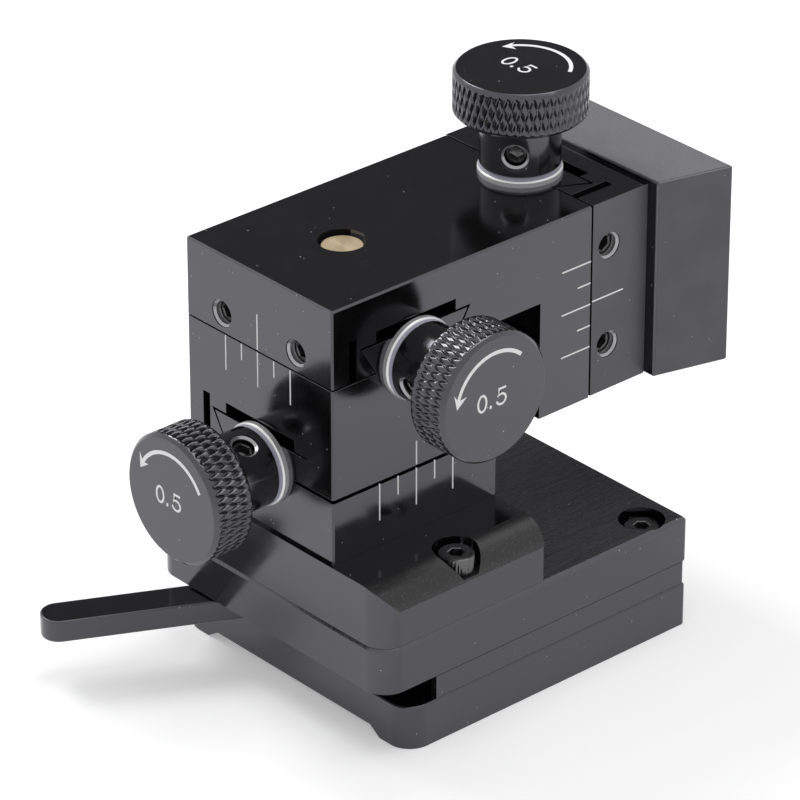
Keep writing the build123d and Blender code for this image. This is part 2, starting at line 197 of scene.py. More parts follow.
# Materials
class Finish:
    """A Principled material with the nodes that vary its colour, roughness and relief."""

    def __init__(self, name, colour, roughness, **sockets):
        self.material = bpy.data.materials.new(name)
        self.material.use_nodes = True
        self.tree = self.material.node_tree
        self.shader = self.tree.nodes["Principled BSDF"]
        self.shader.inputs["Roughness"].default_value = roughness
        for socket, value in sockets.items():
            self.shader.inputs[socket.replace("_", " ")].default_value = value
        self.place = self.add("ShaderNodeTexCoord").outputs["Object"]
        self.base = (*colour, 1)
        self.shader.inputs["Base Color"].default_value = self.base
        self.colour = None
        self.relief = None

    def add(self, kind, **settings):
        node = self.tree.nodes.new(kind)
        for key, value in settings.items():
            setattr(node, key, value)
        return node

    def link(self, source, target):
        self.tree.links.new(source, target)

    def math(self, operation, *values):
        node = self.add("ShaderNodeMath", operation=operation)
        for socket, value in zip(node.inputs, values):
            if isinstance(value, (int, float)):
                socket.default_value = value
            else:
                self.link(value, socket)
        return node.outputs[0]

    def noise(self, scale, detail=3.0, stretch=(1, 1, 1)):
        """Noise with features of about 1 / scale metres."""
        mapping = self.add("ShaderNodeMapping")
        self.link(self.place, mapping.inputs["Vector"])
        mapping.inputs["Scale"].default_value = stretch
        node = self.add("ShaderNodeTexNoise")
        node.inputs["Scale"].default_value = scale
        node.inputs["Detail"].default_value = detail
        self.link(mapping.outputs["Vector"], node.inputs["Vector"])
        return node.outputs["Fac"]

    def specks(self, scale, radius, share):
        """A mask of small dots, of which only a share is kept."""
        node = self.add("ShaderNodeTexVoronoi")
        node.inputs["Scale"].default_value = scale
        self.link(self.place, node.inputs["Vector"])
        near = self.math("LESS_THAN", node.outputs["Distance"], radius)
        split = self.add("ShaderNodeSeparateColor")
        self.link(node.outputs["Color"], split.inputs[0])
        kept = self.math("LESS_THAN", split.outputs[0], share)
        return self.math("MULTIPLY", near, kept)

    def span(self, value, low, high, to_low=0.0, to_high=1.0):
        node = self.add("ShaderNodeMapRange")
        self.link(value, node.inputs["Value"])
        limits = {"From Min": low, "From Max": high, "To Min": to_low, "To Max": to_high}
        for name, number in limits.items():
            node.inputs[name].default_value = number
        return node.outputs["Result"]

    def tint(self, mask, colour):
        """Mixes a colour in by a mask."""
        node = self.add("ShaderNodeMix", data_type="RGBA")
        self.link(mask, node.inputs["Factor"])
        if self.colour is None:
            node.inputs[MIX_A].default_value = self.base
        else:
            self.link(self.colour, node.inputs[MIX_A])
        node.inputs[MIX_B].default_value = (*colour, 1)
        self.colour = node.outputs[MIX_RESULT]

    def rough(self, pattern, low, high):
        """Lets a noise move the roughness between two values."""
        self.link(self.span(pattern, 0.3, 0.7, low, high), self.shader.inputs["Roughness"])

    def raise_by(self, height, depth_mm):
        """Adds relief of a depth where the height is 1."""
        node = self.add("ShaderNodeBump")
        node.inputs["Strength"].default_value = 1.0
        node.inputs["Distance"].default_value = depth_mm * MM
        self.link(height, node.inputs["Height"])
        if self.relief is not None:
            self.link(self.relief, node.inputs["Normal"])
        self.relief = node.outputs["Normal"]

    def turned(self, per_metre, depth_mm):
        """Adds the fine rings round the Z axis that a lathe leaves."""
        split = self.add("ShaderNodeSeparateXYZ")
        self.link(self.place, split.inputs[0])
        squares = [self.math("POWER", split.outputs[k], 2.0) for k in (0, 1)]
        radius = self.math("SQRT", self.math("ADD", *squares))
        rings = self.math("FRACT", self.math("MULTIPLY", radius, per_metre))
        self.raise_by(rings, depth_mm)

    def done(self):
        if self.colour is not None:
            self.link(self.colour, self.shader.inputs["Base Color"])
        if self.relief is not None:
            self.link(self.relief, self.shader.inputs["Normal"])
        return self.material


# What the black finishes share: the colour of dust, the tint of their gloss and its strength
DUST = (0.5, 0.5, 0.5)
COOL = (0.92, 0.9, 1.0, 1.0)
GLOSS_IOR = 1.85


def anodised(name, colour, low, high, dust=0.3, ior=GLOSS_IOR):
    """Black anodised aluminium: faint clouds in its gloss, a fine grain and a little dust."""
    finish = Finish(name, colour, low, Metallic=0.0, IOR=ior, Specular_Tint=COOL)
    clouds = finish.noise(260, 5)
    finish.tint(finish.span(clouds, 0.35, 0.75, 0.0, 0.5), tuple(c * 1.5 for c in colour))
    finish.rough(clouds, low, high)
    finish.raise_by(finish.noise(9000, 2), 0.0006)
    finish.tint(finish.specks(900, 0.055, dust), DUST)
    return finish.done()


def knob_anodised(name):
    finish = Finish(name, (0.006, 0.006, 0.0065), 0.2, Metallic=0.0, IOR=GLOSS_IOR, Specular_Tint=COOL)
    finish.turned(9000.0, 0.0008)
    finish.rough(finish.noise(400, 4), 0.12, 0.2)
    finish.tint(finish.specks(900, 0.06, 0.3), DUST)
    return finish.done()


def brushed_anodised(name):
    colour = (0.022, 0.022, 0.0235)
    finish = Finish(name, colour, 0.24, Metallic=0.0, IOR=GLOSS_IOR, Specular_Tint=COOL)
    strokes = finish.noise(2600, 4, (0.04, 1, 1))
    finish.raise_by(strokes, 0.004)
    finish.rough(strokes, 0.2, 0.36)
    finish.tint(finish.span(strokes, 0.45, 0.75, 0.0, 0.5), (0.035, 0.035, 0.037))
    finish.tint(finish.specks(800, 0.06, 0.25), DUST)
    return finish.done()


def blasted_anodised(name):
    finish = Finish(name, (0.15, 0.149, 0.158), 0.62, Metallic=0.0, IOR=1.6)
    pits = finish.noise(5200, 3)
    finish.raise_by(pits, 0.03)
    finish.tint(finish.span(pits, 0.5, 0.8, 0.0, 0.6), (0.25, 0.25, 0.26))
    finish.tint(finish.span(finish.noise(300, 4), 0.4, 0.8, 0.0, 0.35), (0.11, 0.11, 0.117))
    return finish.done()


def grained_anodised(name):
    finish = Finish(name, (0.012, 0.012, 0.013), 0.34, Metallic=0.0, IOR=1.48)
    grains = finish.noise(6000, 3)
    finish.raise_by(grains, 0.02)
    finish.tint(finish.span(grains, 0.6, 0.72, 0.0, 0.5), (0.2, 0.2, 0.2))
    return finish.done()


def black_steel(name):
    finish = Finish(name, (0.012, 0.012, 0.013), 0.26, Metallic=0.0, IOR=2.0)
    finish.rough(finish.noise(1500, 4), 0.18, 0.36)
    finish.raise_by(finish.noise(5000, 3), 0.004)
    return finish.done()


def bare_metal(name, colour, low, high):
    """Turned or ground metal, with roughness between two values."""
    finish = Finish(name, colour, low, Metallic=0.6)
    finish.rough(finish.noise(900, 4), low, high)
    finish.turned(11000.0, 0.001)
    return finish.done()


def brass(name):
    finish = Finish(name, (0.86, 0.7, 0.46), 0.3, Metallic=0.55, Anisotropic=0.75)
    finish.turned(14000.0, 0.0012)
    finish.tint(finish.span(finish.noise(1400, 4), 0.4, 0.8, 0.0, 0.4), (0.7, 0.5, 0.28))
    around = finish.add("ShaderNodeTangent", direction_type="RADIAL", axis="Z")
    finish.link(around.outputs[0], finish.shader.inputs["Tangent"])
    return finish.done()


def cavity(name):
    """Painted shade: the dull, near-black inside of slits and slots."""
    finish = Finish(name, (0.002, 0.002, 0.002), 0.7, Metallic=0.0, IOR=1.2)
    finish.tint(finish.span(finish.noise(2000, 3), 0.4, 0.8, 0.0, 0.5), (0.004, 0.004, 0.004))
    return finish.done()


def nylon(name):
    finish = Finish(name, (0.44, 0.44, 0.54), 0.38, Metallic=0.0)
    finish.tint(finish.span(finish.noise(700, 3), 0.4, 0.7, 0.0, 0.5), (0.36, 0.36, 0.46))
    finish.raise_by(finish.noise(2500, 2), 0.003)
    return finish.done()


def white_ink(name):
    finish = Finish(name, (0.93, 0.93, 0.94), 0.55, Metallic=0.0)
    finish.tint(finish.span(finish.noise(2200, 4), 0.6, 0.85, 0.0, 0.4), (0.6, 0.6, 0.61))
    finish.raise_by(finish.noise(4000, 2), 0.002)
    return finish.done()


def stage_paint(name, colour, mottle, **sockets):
    """Matt paint for the floor and the card, with a faint mottle, not yet done."""
    finish = Finish(name, colour, 0.9, Metallic=0.0, **sockets)
    finish.tint(finish.span(finish.noise(3, 3), 0.3, 0.8, 0.0, 1.0), mottle)
    return finish


MATERIALS = {
    "gloss_anodised": anodised("gloss_anodised", (0.0035, 0.0035, 0.0038), 0.10, 0.17),
    "satin_anodised": anodised("satin_anodised", (0.1, 0.099, 0.108), 0.36, 0.44, ior=1.35),
    "edge_anodised": anodised("edge_anodised", (0.035, 0.035, 0.037), 0.3, 0.42, dust=0.9, ior=1.7),
    "knob_anodised": knob_anodised("knob_anodised"),
    "brushed_anodised": brushed_anodised("brushed_anodised"),
    "blasted_anodised": blasted_anodised("blasted_anodised"),
    "grained_anodised": grained_anodised("grained_anodised"),
    "black_steel": black_steel("black_steel"),
    "stainless": bare_metal("stainless", (0.8, 0.8, 0.8), 0.3, 0.42),
    "pole_steel": bare_metal("pole_steel", (0.5, 0.5, 0.5), 0.3, 0.42),
    "nickel": bare_metal("nickel", (0.68, 0.66, 0.62), 0.16, 0.3),
    "bare_thread": bare_metal("bare_thread", (0.4, 0.4, 0.41), 0.18, 0.3),
    "brass": brass("brass"),
    # painted shade for the slits, holes and dovetail flanks of the blocks
    "cavity": cavity("cavity"),
    "nylon": nylon("nylon"),
    "white_ink": white_ink("white_ink"),
}


# Meshes
def new_piece(name, bm, material_names, node, matrix=WORLD, replaced=()):
    """Turns a mesh in millimetres, in a local frame, into a piece that rides on a node's body."""
    bmesh.ops.scale(bm, vec=(MM, MM, MM), verts=bm.verts)
    mesh = bpy.data.meshes.new(name)
    bm.to_mesh(mesh)
    bm.free()
    mesh.polygons.foreach_set("use_smooth", [True] * len(mesh.polygons))
    mesh.set_sharp_from_angle(angle=math.radians(SHARP_ANGLE))
    for material_name in material_names:
        mesh.materials.append(MATERIALS[material_name])
    piece = bpy.data.objects.new(name, mesh)
    bpy.context.scene.collection.objects.link(piece)
    piece.matrix_world = matrix
    even = piece.modifiers.new("even_normals", "WEIGHTED_NORMAL")
    even.keep_sharp = True
    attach(piece, body_of[node])
    if replaced:
        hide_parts(*replaced)


def node_mesh(node, matrix=WORLD):
    """A CAD node's mesh in a local frame, in millimetres, with its flat faces made whole."""
    bm = bmesh.new()
    bm.from_mesh(nodes[node].data)
    bmesh.ops.transform(bm, matrix=matrix.inverted(), verts=bm.verts)
    bmesh.ops.scale(bm, vec=(1 / MM,) * 3, verts=bm.verts)
    bmesh.ops.remove_doubles(bm, verts=bm.verts, dist=MERGE)
    bmesh.ops.dissolve_limit(
        bm, angle_limit=math.radians(FLAT_ANGLE), use_dissolve_boundaries=False,
        verts=bm.verts, edges=bm.edges,
    )
    for face in bm.faces:
        face.material_index = 0
    return bm


def break_edges(bm, width, edge_material=0, segments=2):
    """Rounds the sharp outer edges."""
    sharp = [
        e for e in bm.edges
        if len(e.link_faces) == 2 and e.calc_face_angle_signed(0) > math.radians(BREAK_ANGLE)
    ]
    bmesh.ops.bevel(
        bm, geom=sharp, offset=width, offset_type="OFFSET", segments=segments, profile=0.6,
        affect="EDGES", clamp_overlap=True, material=edge_material,
    )


def surface(segments, rows, radius):
    """A closed form around Z: a grid whose radius depends on the angle and the height."""
    bm = bmesh.new()
    grid = []
    for z in rows:
        ring = []
        for i in range(segments):
            turn = 2 * math.pi * i / segments
            r = radius(turn, z)
            ring.append(bm.verts.new((r * math.cos(turn), r * math.sin(turn), z)))
        grid.append(ring)
    for low, high in zip(grid, grid[1:]):
        for i in range(segments):
            j = (i + 1) % segments
            corners = (low[i], low[j], high[j], high[i])
            across = [math.hypot(v.co.x, v.co.y) for v in corners]
            if abs(across[0] + across[2] - across[1] - across[3]) < SAME_SIZE:
                bm.faces.new(corners)
            elif across[0] + across[2] < across[1] + across[3]:
                bm.faces.new((corners[0], corners[1], corners[2]))
                bm.faces.new((corners[0], corners[2], corners[3]))
            else:
                bm.faces.new((corners[0], corners[1], corners[3]))
                bm.faces.new((corners[1], corners[2], corners[3]))
    bm.faces.new(list(reversed(grid[0])))
    bm.faces.new(grid[-1])
    return bm


def lathe(profile, segments):
    """A ring or disc turned from points (radius, height); a closed profile makes a ring."""
    bm = bmesh.new()
    closed = profile[0] == profile[-1]
    points = profile[:-1] if closed else profile
    rings = []
    for r, z in points:
        if r < TINY:
            rings.append([bm.verts.new((0, 0, z))])
        else:
            turns = [2 * math.pi * i / segments for i in range(segments)]
            rings.append([bm.verts.new((r * math.cos(t), r * math.sin(t), z)) for t in turns])
    pairs = list(zip(rings, rings[1:]))
    if closed:
        pairs.append((rings[-1], rings[0]))
    for low, high in pairs:
        for i in range(segments):
            j = (i + 1) % segments
            corners = [low[i % len(low)], low[j % len(low)], high[j % len(high)], high[i % len(high)]]
            unique = [v for k, v in enumerate(corners) if v not in corners[:k]]
            if len(unique) > 2:
                bm.faces.new(unique)
    bmesh.ops.recalc_face_normals(bm, faces=bm.faces)
    return bm


def join(target, addition, matrix=None, material=None):
    """Adds one mesh to another."""
    if matrix is not None:
        bmesh.ops.transform(addition, matrix=matrix, verts=addition.verts)
    if material is not None:
        for face in addition.faces:
            face.material_index = material
    scratch = bpy.data.meshes.new("scratch")
    addition.to_mesh(scratch)
    addition.free()
    target.from_mesh(scratch)
    bpy.data.meshes.remove(scratch)


def socket_head(radius, top_z, bottom_z, flats, depth, edge, ridges=0):
    """A screw's head around Z, with a hexagon socket in its top and ridges round its side."""
    count = ridges * 2 if ridges else HEAD_STEPS
    ridge_depth = 0.1
    lead_in = 0.16
    lead_depth = 0.09
    drill_share = 0.3
    drill_depth = 0.12
    bm = bmesh.new()

    def ring(r, z, ridged=False):
        verts = []
        for i in range(count):
            turn = 2 * math.pi * i / count
            out = r - (ridge_depth if ridged and i % 2 else 0.0)
            verts.append(bm.verts.new((out * math.cos(turn), out * math.sin(turn), z)))
        return verts

    def hexagon(across_flats, z):
        verts = []
        for i in range(count):
            turn = 2 * math.pi * i / count
            beyond = (turn % (math.pi / 3)) - math.pi / 6
            out = across_flats / 2 / math.cos(beyond)
            verts.append(bm.verts.new((out * math.cos(turn), out * math.sin(turn), z)))
        return verts

    ridged = bool(ridges)
    rings = [
        ring(radius - edge, bottom_z),
        ring(radius, bottom_z + edge, ridged),
        ring(radius, top_z - edge * 1.6, ridged),
        ring(radius - edge * 0.5, top_z - edge * 0.5),
        ring(radius - edge * 1.6, top_z),
        hexagon(flats + lead_in, top_z),
        hexagon(flats, top_z - lead_depth),
        hexagon(flats, top_z - depth),
        ring(flats * drill_share, top_z - depth - drill_depth),
    ]
    for low, high in zip(rings, rings[1:]):
        for i in range(count):
            j = (i + 1) % count
            bm.faces.new((low[i], low[j], high[j], high[i]))
    bm.faces.new(list(reversed(rings[0])))
    bm.faces.new(rings[-1])
    return bm


def extruded(outline, low_z, high_z):
    """A flat form with a thickness, from an outline in XY."""
    bm = bmesh.new()
    low = [bm.verts.new((*p, low_z)) for p in outline]
    high = [bm.verts.new((*p, high_z)) for p in outline]
    bm.faces.new(high)
    bm.faces.new(list(reversed(low)))
    for i in range(len(low)):
        j = (i + 1) % len(low)
        bm.faces.new((low[i], low[j], high[j], high[i]))
    return bm


def slab(points, low_z, high_z):
    """A painted patch with a thickness, from an outline in XY."""
    bm = extruded(points, low_z, high_z)
    bmesh.ops.recalc_face_normals(bm, faces=bm.faces)
    bmesh.ops.triangulate(bm, faces=[f for f in bm.faces if len(f.verts) > 3])
    return bm


def end_cap(centre, along, width):
    """Points round the end of a stroke."""
    across = Vector((-along.y, along.x))
    turns = [math.pi * k / CAP_STEPS - math.pi / 2 for k in range(1, CAP_STEPS)]
    return [centre + (along * math.cos(t) + across * math.sin(t)) * width / 2 for t in turns]


def stroke(points, width, low_z, high_z, round_ends=True, closed=False):
    """A painted line with a thickness: a flat ribbon along points in XY."""
    path = [Vector(p) for p in points]
    count = len(path)
    sides = []
    for i, p in enumerate(path):
        before = path[i - 1] if i or closed else p
        after = path[(i + 1) % count] if i < count - 1 or closed else p
        one = p - before
        two = after - p
        one = one.normalized() if one.length else two.normalized()
        two = two.normalized() if two.length else one
        along = (one + two).normalized()
        across = Vector((-along.y, along.x))
        widen = 1 / max(MITRE_LIMIT, along.dot(two))
        sides.append((p + across * width / 2 * widen, p - across * width / 2 * widen, along))
    if closed:
        bm = bmesh.new()
        rings = []
        for left, right, _ in sides:
            corners = ((left, low_z), (left, high_z), (right, high_z), (right, low_z))
            rings.append([bm.verts.new((*q, z)) for q, z in corners])
        for a, b in zip(rings, rings[1:] + rings[:1]):
            for k in range(4):
                bm.faces.new((a[k], a[(k + 1) % 4], b[(k + 1) % 4], b[k]))
    else:
        outline = [right for _, right, _ in sides]
        if round_ends:
            outline += end_cap(path[-1], sides[-1][2], width)
        outline += [left for left, _, _ in reversed(sides)]
        if round_ends:
            outline += end_cap(path[0], -sides[0][2], width)
        bm = extruded(outline, low_z, high_z)
        bmesh.ops.triangulate(bm, faces=[f for f in bm.faces if len(f.verts) > 4])
    bmesh.ops.recalc_face_normals(bm, faces=bm.faces)
    return bm


def arc(radius, start, end):
    """Points along an arc about the origin, in degrees."""
    turns = [math.radians(start + (end - start) * k / ARC_STEPS) for k in range(ARC_STEPS + 1)]
    return [(radius * math.cos(t), radius * math.sin(t)) for t in turns]


def polar(radius, angle):
    turn = math.radians(angle)
    return radius * math.cos(turn), radius * math.sin(turn)


def thread_lining(depth, outer_r, inner_r, start=0.12):
    """The threads that show in a tapped hole's mouth, as rings that go in from the face."""
    profile = [(outer_r, -start)]
    z = start
    while z + THREAD_PITCH <= depth + TINY:
        profile += [(inner_r, -(z + THREAD_PITCH * share)) for share in THREAD_CREST]
        profile.append((outer_r - ROOT_PLAY, -(z + THREAD_PITCH)))
        z += THREAD_PITCH
    profile += [(outer_r, -z), (outer_r, -start)]
    return lathe(profile, LINING_STEPS)


# What each slide's fit shows: the rail's play in its dovetail, and the gap between the blocks.
def ease(bm, axis, moves):
    """Moves points of a block in a drive's frame: each move has a span in X, one in Y, and a step."""
    place = in_mm(DRIVES[axis])
    back = place.inverted()
    for vert in bm.verts:
        spot = back @ vert.co
        for (x0, x1), (y0, y1), step in moves:
            if x0 < spot.x < x1 and y0 < spot.y < y1:
                vert.co = place @ (spot + Vector((*step, 0)))
                break


def rail_fit(side, flank, drop):
    """The rail a little low, one flank eased, and its block's face a little below the split."""
    flank_span = sorted((side * RAIL_FLANK, side * RAIL_REACH))
    foot_span = sorted((side * RAIL_FLANK, side * RAIL_FOOT))
    return [
        (flank_span, RAIL_TOP, (-side * flank, -RAIL_DROP)),
        ((-RAIL_REACH, RAIL_REACH), RAIL_TOP, (0, -RAIL_DROP)),
        (foot_span, SPLIT, (-side * flank, -drop)),
        (ALL, SPLIT, (0, -drop)),
    ]


def face_fit(rise):
    """A sliding block's face, moved from the split."""
    return [(ALL, SLIDER_FACE, (0, rise))]


# Which finish a face has, where it isn't the first in its piece's list
def plate_sides(face):
    """The top plate is brushed on top and glossy round its sides."""
    return "gloss_anodised" if abs(face.normal.z) < SLANTED else None


def shoulder_grain(face):
    """The foot's round shoulders have a grain."""
    on_shoulder = abs(face.calc_center_median().y) > SHOULDER_Y
    return "grained_anodised" if face.normal.z > SHOULDER_RISE and on_shoulder else None


def arm_grain(face):
    """The arm block is blasted on its ends and outer face, satin on its flanks and glossy behind."""
    normal = face.normal
    if abs(normal.y) > FACING:
        return "satin_anodised"
    if normal.x < -FACING:
        return "gloss_anodised"
    if normal.x < -SLANTED and normal.z > SLANTED:
        return "edge_anodised"
    return None


def slide_grain(face):
    """The upright slide is satin on its flanks."""
    return "satin_anodised" if abs(face.normal.y) > FACING else None


def rim_grain(face):
    """The blocks' chamfers have the worn finish of the edges."""
    return "edge_anodised" if SLANTED < max(abs(c) for c in face.normal) < FACING else None


def darken_cavities(bm, splits, material):
    """Slits, holes and dovetail flanks lie inside a block's box; their faces get a dull, near-black painted
    shade.
    """
    low = [min(v.co[k] for v in bm.verts) + CAVITY_DEPTH for k in range(3)]
    high = [max(v.co[k] for v in bm.verts) - CAVITY_DEPTH for k in range(3)]
    for face in bm.faces:
        centre = face.calc_center_median()
        inside = all(low[k] < centre[k] < high[k] for k in range(3))
        if inside and all(abs(face.normal[k]) < FACING for k in splits):
            face.material_index = material


# Plates, blocks and nuts keep the CAD's faces, with broken edges.
def dress_block(
    node, width=0.06, materials=None, paint=None, matrix=WORLD, extra=None, segments=2, fit=(), splits=None
):
    """A CAD node's own form with eased fits, broken edges, finishes by face and painted shade in its
    cavities.
    """
    bm = node_mesh(node, matrix)
    for axis, moves in fit:
        ease(bm, axis, moves)
    names = materials or [slot_of[node]]
    edge = names.index("edge_anodised") if "edge_anodised" in names else 0
    break_edges(bm, width, edge_material=edge, segments=segments)
    if paint:
        for face in bm.faces:
            chosen = paint(face)
            if chosen:
                face.material_index = names.index(chosen)
    # painted shade: faces inside slits, holes and dovetail flanks are made dull and near black
    if splits is not None:
        darken_cavities(bm, splits, names.index("cavity"))
    if extra:
        extra(bm)
    new_piece(node + "_dressed", bm, names, node, matrix, replaced=(node,))


def gib_frames(axis, length, side, half_width):
    """The frames at the mouths of a slide's two gib holes, with Z pointing out of the block."""
    found = []
    for offset in (-GIB_SPACING / 2, GIB_SPACING / 2):
        mouth = Vector((side * half_width, GIB_SCREW_H, offset - length / 2)) * MM
        found.append(DRIVES[axis] @ Matrix.Translation(mouth) @ about("Y", 90 * side))
    return found


# The mouths of each slide's gib holes, which are in the middle block, top block and upright slide
GIBS = {
    "x": gib_frames("x", length=22.4, side=-1, half_width=TOWER_Y),
    "y": gib_frames("y", length=22.6, side=-1, half_width=TOP_HALF_WIDTH),
    "z": gib_frames("z", length=22.2, side=1, half_width=TOWER_Y),
}


def add_gib_threads(axis):
    def extra(bm):
        for mouth in GIBS[axis]:
            lining = thread_lining(depth=GIB_RECESS + GIB_THREAD_IN, outer_r=1.5, inner_r=1.24)
            join(bm, lining, in_mm(mouth), THREAD)
    return extra


# The base's plates and the foot
dress_block("bottom_plate", width=0.08)
dress_block("spacer_plate", width=0.06)
dress_block("top_plate", width=0.1, materials=["brushed_anodised", "gloss_anodised"], paint=plate_sides)
dress_block(
    "stage_foot", width=0.08, materials=["gloss_anodised", "grained_anodised", "edge_anodised"],
    paint=shoulder_grain,
)

# The tower, whose splits face Z, or X at the leg
dress_block(
    "lower_block", width=0.05, materials=BLOCK, paint=rim_grain, splits=(2,),
    fit=[("x", rail_fit(side=-1, flank=0.15, drop=0.2))],
)
dress_block(
    "middle_block", width=0.05, materials=BLOCK, paint=rim_grain, splits=(2,), extra=add_gib_threads("x"),
    fit=[("x", face_fit(rise=0.15)), ("y", rail_fit(side=1, flank=0.3, drop=0.1))],
)
dress_block(
    "top_block", width=0.05, materials=BLOCK, paint=rim_grain, splits=(0, 2), extra=add_gib_threads("y"),
    fit=[("y", face_fit(rise=0.05)), ("z", rail_fit(side=1, flank=0.2, drop=0.4))],
)
dress_block(
    "upright_slide", width=0.05, materials=BLOCK, paint=slide_grain, splits=(0,),
    extra=add_gib_threads("z"), fit=[("z", face_fit(rise=-0.2))],
)
dress_block(
    "arm_block", width=0.06, paint=arm_grain,
    materials=["blasted_anodised", "satin_anodised", "gloss_anodised", "edge_anodised"],
)

# The lever with its pin, its magnets and the pole pins
dress_block("switch_lever", width=0.22, materials=["gloss_anodised", "edge_anodised"], segments=3)
dress_block("lever_pivot", width=0.15)
dress_block("lever_magnets", width=0.2)
dress_block("pole_pins", width=0.15)


# Turned pieces of the drives
def dress_bush(axis):
    node = axis + "_bush"
    low, _ = reach_along(node, DRIVES[axis])
    profile = [
        (BORE_R, low), (SEAT_R - 0.1, low), (SEAT_R, low + 0.1), (SEAT_R, 0),
        (FLANGE_R, 0), (FLANGE_R, 0.5), (FLANGE_R - 0.08, 0.62), (FLANGE_R - 0.2, FLANGE_END),
        (BORE_R, FLANGE_END), (BORE_R, low),
    ]
    bush = lathe(profile, DRIVE_STEPS)
    new_piece(node + "_dressed", bush, ["stainless"], node, DRIVES[axis], replaced=(node,))


def dress_washer(axis):
    node = axis + "_washer"
    profile = [
        (BORE_R, FLANGE_END), (WASHER_R, FLANGE_END), (WASHER_R - 0.02, FLANGE_END + 0.08),
        (WASHER_R - 0.25, WASHER_END), (BORE_R, WASHER_END), (BORE_R, FLANGE_END),
    ]
    washer = lathe(profile, DRIVE_STEPS)
    new_piece(node + "_dressed", washer, ["nylon"], node, DRIVES[axis], replaced=(node,))


def dress_nut(axis):
    """A brass nut, placed so that its turned end faces along Z."""
    height, along = NUTS[axis]
    upward = DRIVES[axis] @ Matrix.Translation(Vector((0, height, along)) * MM) @ about("X", -90)
    dress_block(axis + "_nut", width=0.12, matrix=upward)


for axis in "xyz":
    dress_bush(axis)
    dress_washer(axis)
for axis in "xyz":
    dress_nut(axis)


# Knobs: how far the wheel's face lies below the marks, and how far the hub reaches into the wheel
FACE_SINK = 0.02
HUB_OVERLAP = 0.02


def knurled(turn, z):
    """The radius of a knob's wheel."""
    bevel = min(z - HUB_END, KNOB_FACE - z) + WHEEL_R - WHEEL_EDGE
    around = KNURL_COUNT * turn / (2 * math.pi)
    along = KNURL_ROWS * (z - BAND_START) / (BAND_END - BAND_START)
    heights = [1 - abs(2 * ((around + s * along) % 1.0) - 1) for s in (1, -1)]
    height = min(1.0, min(heights) / KNURL_GROOVE)
    fade = max(0.0, min(1.0, (BAND_END - z) / KNURL_FADE, (z - BAND_START) / KNURL_FADE))
    return min(bevel, WHEEL_R - KNURL_DEPTH * fade * (1 - height))


def wheel():
    """A knob's wheel with its diamond knurl, and its face a little below the marks."""
    rows = [HUB_END + k * WHEEL_EDGE / 4 for k in range(4)]
    band = BAND_END - BAND_START
    rows += [BAND_START + band * k / KNURL_LEVELS for k in range(KNURL_LEVELS + 1)]
    rows += [BAND_END + k * WHEEL_EDGE / 4 for k in range(1, 5)]
    bm = surface(KNURL_COUNT * KNURL_STEPS, rows, knurled)
    for vert in bm.verts:
        if vert.co.z > KNOB_FACE - MERGE:
            vert.co.z -= FACE_SINK
    return bm


def hub(axis):
    """The hub with its screw hole, cut from the CAD's knob."""
    bm = node_mesh(axis + "_knob", DRIVES[axis])
    parts = bm.verts[:] + bm.edges[:] + bm.faces[:]
    bmesh.ops.bisect_plane(
        bm, geom=parts, plane_co=(0, 0, HUB_END + HUB_OVERLAP), plane_no=(0, 0, 1), clear_outer=True
    )
    rim = [e for e in bm.edges if e.is_boundary]
    bmesh.ops.triangle_fill(bm, edges=rim, use_beauty=True)
    break_edges(bm, width=0.06)
    return bm


# The marks on a knob's face: their depth, how far their tops and the arrowhead's stay down, and widths
MARK_DEPTH = 0.06
MARK_TOP = 0.005
ARROWHEAD_STEP = 0.002
ARROW_WIDTH = 0.42
DIGIT_WIDTH = 0.24
POINT_WIDTH = 0.3

# Each knob's arrow: the angles of its start, tip and barbs, and the barbs' radii
ARROW_R = 5.15
ARROWS = {
    "x": (29, 159, 143, 6.1, 4.44),
    "y": (48, 174.6, 158, 5.95, 4.16),
    "z": (33, 160, 144, 5.9, 4.2),
}


def ellipse(centre_x, half_width, half_height, count):
    turns = (2 * math.pi * k / count for k in range(count))
    return [(centre_x + half_width * math.cos(t), half_height * math.sin(t)) for t in turns]


def five_path():
    """A five: its flag, and a bowl that swings round clockwise."""
    turns = (math.radians(130 - 290 * k / 16) for k in range(17))
    bowl = [(0.8 + 0.62 * math.cos(t), -0.3 + 0.58 * math.sin(t)) for t in turns]
    return [(1.35, 0.9), (0.5, 0.9), (0.4, 0.12)] + bowl


def knob_marks(start, tip, barb, barb_out, barb_in):
    """The arrow round a knob's face, and the millimetres that one turn moves its slide."""
    low = KNOB_FACE - MARK_DEPTH
    high = KNOB_FACE - MARK_TOP
    zero = ellipse(centre_x=-1.75, half_width=0.55, half_height=0.9, count=28)
    point = [(-0.62, -0.82), (-0.62, -0.7)]
    notch = polar(ARROW_R, barb + (tip - barb) * 0.35)
    head = [polar(barb_out, barb), polar(ARROW_R, tip), polar(barb_in, barb), notch]
    shaft = arc(ARROW_R, start, barb + (tip - barb) * 0.6)
    marks = stroke(shaft, ARROW_WIDTH, low, high, round_ends=False)
    join(marks, slab(head, low, high - ARROWHEAD_STEP))
    join(marks, stroke(zero, DIGIT_WIDTH, low, high, closed=True))
    join(marks, stroke(point, POINT_WIDTH, low, high))
    join(marks, stroke(five_path(), DIGIT_WIDTH, low, high))
    return marks


